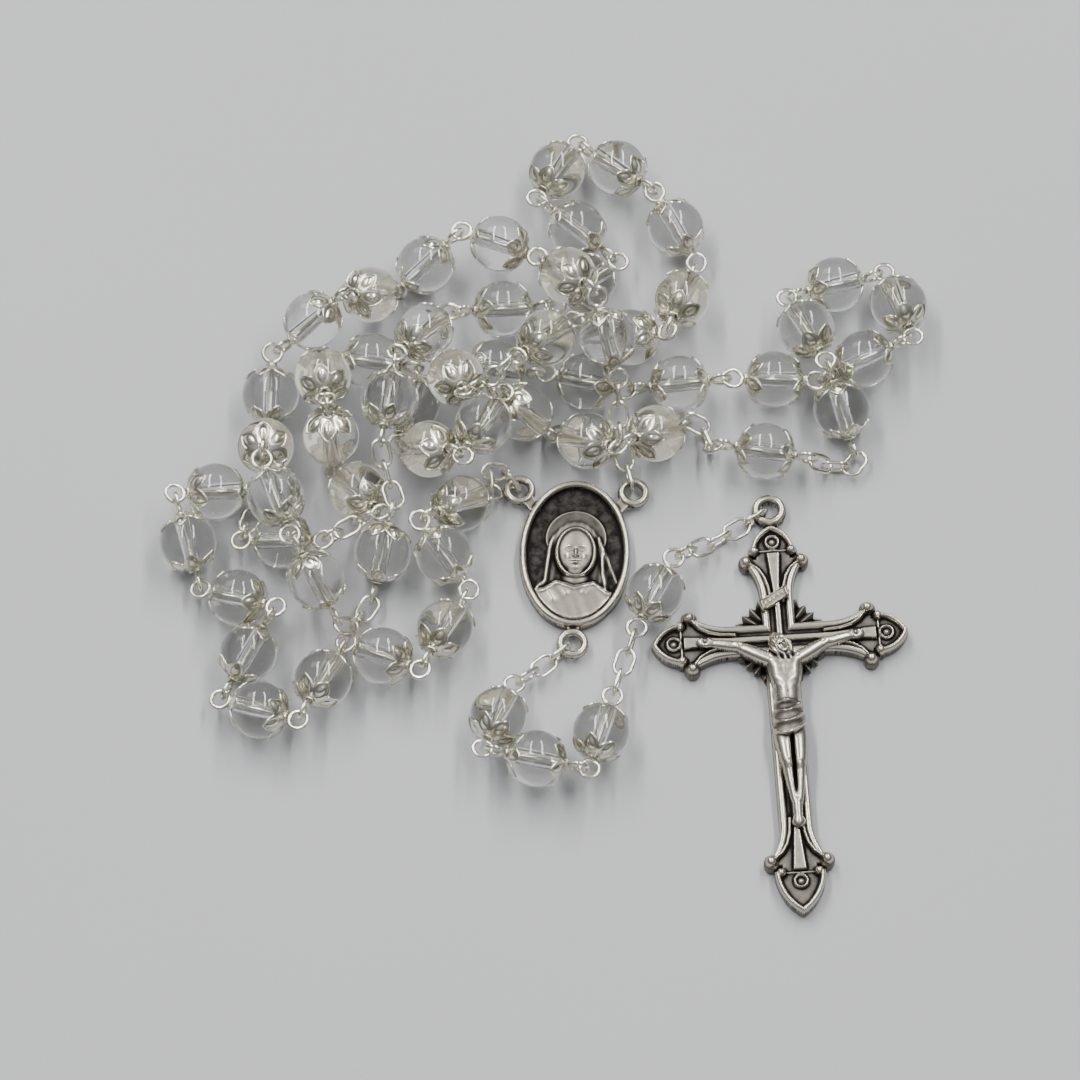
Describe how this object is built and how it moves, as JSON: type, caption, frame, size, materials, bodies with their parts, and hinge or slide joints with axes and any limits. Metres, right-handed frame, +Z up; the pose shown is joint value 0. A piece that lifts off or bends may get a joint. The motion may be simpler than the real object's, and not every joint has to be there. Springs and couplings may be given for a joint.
{
  "type": "rosary",
  "caption": "Rosary of round clear beads with flower caps on a silver link chain, with an oval centre medal and a flared crucifix, lying heaped on a flat surface.",
  "frame": {"origin": "on the surface it lies on, under the middle of the whole rosary's box", "axes": "+Z up; +Y from the crucifix's foot towards its head, within a few degrees; +X to the right seen from above"},
  "size_m": [0.0944, 0.1052, 0.0151],
  "materials": {
    "glass": "clear polished round glass",
    "silver": "bright silver plate, slightly warm",
    "old_silver": "antiqued cast metal, dark in the recesses and bright on the edges"
  },
  "bodies": {
    "loop": {"decade_1_glass": "glass", "decade_1_caps": "silver", "decade_1_eye_pins": "silver", "decade_2_glass": "glass", "decade_2_caps": "silver", "decade_2_eye_pins": "silver", "decade_3_glass": "glass", "decade_3_caps": "silver", "decade_3_eye_pins": "silver", "decade_4_glass": "glass", "decade_4_caps": "silver", "decade_4_eye_pins": "silver", "decade_5_glass": "glass", "decade_5_caps": "silver", "decade_5_eye_pins": "silver", "spacer_beads_glass": "glass", "spacer_beads_caps": "silver", "spacer_beads_eye_pins": "silver", "right_ear_chain": "silver", "left_ear_chain": "silver", "spacer_chains": "silver"},
    "top_lobe": {"top_lobe_glass": "glass", "top_lobe_caps": "silver", "top_lobe_eye_pins": "silver"},
    "right_lobe": {"right_lobe_glass": "glass", "right_lobe_caps": "silver", "right_lobe_eye_pins": "silver"},
    "lower_lobe": {"lower_lobe_glass": "glass", "lower_lobe_caps": "silver", "lower_lobe_eye_pins": "silver"},
    "medal": {"centre_medal": "old_silver", "medal_ear_links": "silver"},
    "pendant_link_1": {"pendant_link_1": "silver"},
    "pendant_link_2": {"pendant_link_2": "silver"},
    "pendant_link_3": {"pendant_link_3": "silver"},
    "pendant_pin_1": {"pendant_bead_1_eye_pins": "silver"},
    "pendant_ball_1": {"pendant_bead_1_glass": "glass", "pendant_bead_1_caps": "silver"},
    "pendant_pin_2": {"pendant_bead_2_eye_pins": "silver"},
    "pendant_ball_2": {"pendant_bead_2_glass": "glass", "pendant_bead_2_caps": "silver"},
    "pendant_pin_3": {"pendant_bead_3_eye_pins": "silver"},
    "pendant_ball_3": {"pendant_bead_3_glass": "glass", "pendant_bead_3_caps": "silver"},
    "pendant_link_4": {"pendant_link_4": "silver"},
    "pendant_link_5": {"pendant_link_5": "silver"},
    "pendant_link_6": {"pendant_link_6": "silver"},
    "pendant_pin_4": {"pendant_bead_4_eye_pins": "silver"},
    "pendant_ball_4": {"pendant_bead_4_glass": "glass", "pendant_bead_4_caps": "silver"},
    "pendant_link_7": {"pendant_link_7": "silver"},
    "pendant_link_8": {"pendant_link_8": "silver"},
    "pendant_link_9": {"pendant_link_9": "silver"},
    "pendant_link_10": {"pendant_link_10": "silver"},
    "pendant_link_11": {"pendant_link_11": "silver"},
    "crucifix": {"crucifix_cross": "old_silver", "crucifix_figure": "old_silver", "crucifix_title_scroll": "old_silver"}
  },
  "joints": [
    {"name": "top_lobe_fold", "type": "hinge", "parent": "loop", "child": "top_lobe", "pos_m": [-0.00018, 0.04158, 0.00475], "axis": [0.9005, -0.4194, -0.1153], "range_deg": [0, 28]},
    {"name": "right_lobe_fold", "type": "hinge", "parent": "loop", "child": "right_lobe", "pos_m": [0.0216, 0.01729, 0.0046], "axis": [0.8569, -0.4892, -0.1624], "range_deg": [0, 24]},
    {"name": "lower_lobe_fold", "type": "hinge", "parent": "loop", "child": "lower_lobe", "pos_m": [-0.03279, -0.0138, 0.00507], "axis": [-0.888, 0.3823, 0.2555], "range_deg": [0, 8]},
    {"name": "medal_lift", "type": "hinge", "parent": "loop", "child": "medal", "pos_m": [0.00998, 0.00619, 0.00172], "axis": [-0.9994, -0.0312, 0.0137], "range_deg": [0, 25]},
    {"name": "pendant_link_1_swing", "type": "hinge", "parent": "medal", "child": "pendant_link_1", "pos_m": [0.00324, -0.01699, 0.00136], "axis": [0, 0, 1], "range_deg": [-14, 3]},
    {"name": "pendant_link_2_lift", "type": "hinge", "parent": "pendant_link_1", "child": "pendant_link_2", "pos_m": [0.00126, -0.01875, 0.00141], "axis": [-0.6648, 0.7471, 0], "range_deg": [0, 14]},
    {"name": "pendant_link_3_swing", "type": "hinge", "parent": "pendant_link_2", "child": "pendant_link_3", "pos_m": [-0.00069, -0.02051, 0.00178], "axis": [-0.1018, -0.0938, -0.9904], "range_deg": [-3, 14]},
    {"name": "pendant_pin_1_lift", "type": "hinge", "parent": "pendant_link_3", "child": "pendant_pin_1", "pos_m": [-0.00272, -0.02208, 0.00238], "axis": [-0.6107, 0.7919, 0], "range_deg": [0, 14]},
    {"name": "pendant_ball_1_spin", "type": "hinge", "parent": "pendant_pin_1", "child": "pendant_ball_1", "pos_m": [-0.00576, -0.02766, 0.00372], "axis": [-0.3673, -0.9066, 0.2078], "continuous": true},
    {"name": "pendant_pin_2_swing", "type": "hinge", "parent": "pendant_pin_1", "child": "pendant_pin_2", "pos_m": [-0.00767, -0.03238, 0.0048], "axis": [0.078, 0.1926, 0.9782], "range_deg": [-14, 0]},
    {"name": "pendant_ball_2_spin", "type": "hinge", "parent": "pendant_pin_2", "child": "pendant_ball_2", "pos_m": [-0.00115, -0.0336, 0.00446], "axis": [0.9814, -0.1843, -0.0537], "continuous": true},
    {"name": "pendant_pin_3_lift", "type": "hinge", "parent": "pendant_pin_2", "child": "pendant_pin_3", "pos_m": [0.00396, -0.03456, 0.00418], "axis": [-0.1846, -0.9828, 0], "range_deg": [0, 14]},
    {"name": "pendant_ball_3_spin", "type": "hinge", "parent": "pendant_pin_3", "child": "pendant_ball_3", "pos_m": [0.00666, -0.02982, 0.00372], "axis": [0.2692, 0.9592, -0.0867], "continuous": true},
    {"name": "pendant_link_4_swing", "type": "hinge", "parent": "pendant_pin_3", "child": "pendant_link_4", "pos_m": [0.00806, -0.02483, 0.00327], "axis": [-0.0234, -0.0834, -0.9962], "range_deg": [-3, 14]},
    {"name": "pendant_link_5_lift", "type": "hinge", "parent": "pendant_link_4", "child": "pendant_link_5", "pos_m": [0.00887, -0.02231, 0.00309], "axis": [0.9518, -0.3066, 0], "range_deg": [0, 14]},
    {"name": "pendant_link_6_swing", "type": "hinge", "parent": "pendant_link_5", "child": "pendant_link_6", "pos_m": [0.00968, -0.0198, 0.00335], "axis": [-0.0302, -0.0925, 0.9952], "range_deg": [-14, 5]},
    {"name": "pendant_pin_4_lift", "type": "hinge", "parent": "pendant_link_6", "child": "pendant_pin_4", "pos_m": [0.01055, -0.01733, 0.0037], "axis": [0.9444, -0.3289, 0], "range_deg": [0, 14]},
    {"name": "pendant_ball_4_spin", "type": "hinge", "parent": "pendant_pin_4", "child": "pendant_ball_4", "pos_m": [0.0133, -0.01128, 0.00372], "axis": [0.4384, 0.8988, 0.0025], "continuous": true},
    {"name": "pendant_link_7_swing", "type": "hinge", "parent": "pendant_pin_4", "child": "pendant_link_7", "pos_m": [0.01558, -0.00661, 0.00373], "axis": [0.0011, 0.0023, -1], "range_deg": [-7, 11]},
    {"name": "pendant_link_8_lift", "type": "hinge", "parent": "pendant_link_7", "child": "pendant_link_8", "pos_m": [0.01741, -0.00549, 0.0028], "axis": [0.5232, -0.8522, 0], "range_deg": [0, 14]},
    {"name": "pendant_link_9_swing", "type": "hinge", "parent": "pendant_link_8", "child": "pendant_link_9", "pos_m": [0.01952, -0.00414, 0.00192], "axis": [0.2766, 0.1836, 0.9433], "range_deg": [-3, 14]},
    {"name": "pendant_link_10_lift", "type": "hinge", "parent": "pendant_link_9", "child": "pendant_link_10", "pos_m": [0.02168, -0.00275, 0.00137], "axis": [0.5421, -0.8403, 0], "range_deg": [0, 14]},
    {"name": "pendant_link_11_swing", "type": "hinge", "parent": "pendant_link_10", "child": "pendant_link_11", "pos_m": [0.02391, -0.00132, 0.00136], "axis": [-0.0022, -0.0014, -1], "range_deg": [-14, 3]},
    {"name": "crucifix_lift", "type": "hinge", "parent": "pendant_link_11", "child": "crucifix", "pos_m": [0.02613, 0.00012, 0.00136], "axis": [-0.5429, 0.8398, 0], "range_deg": [0, 30]}
  ]
}
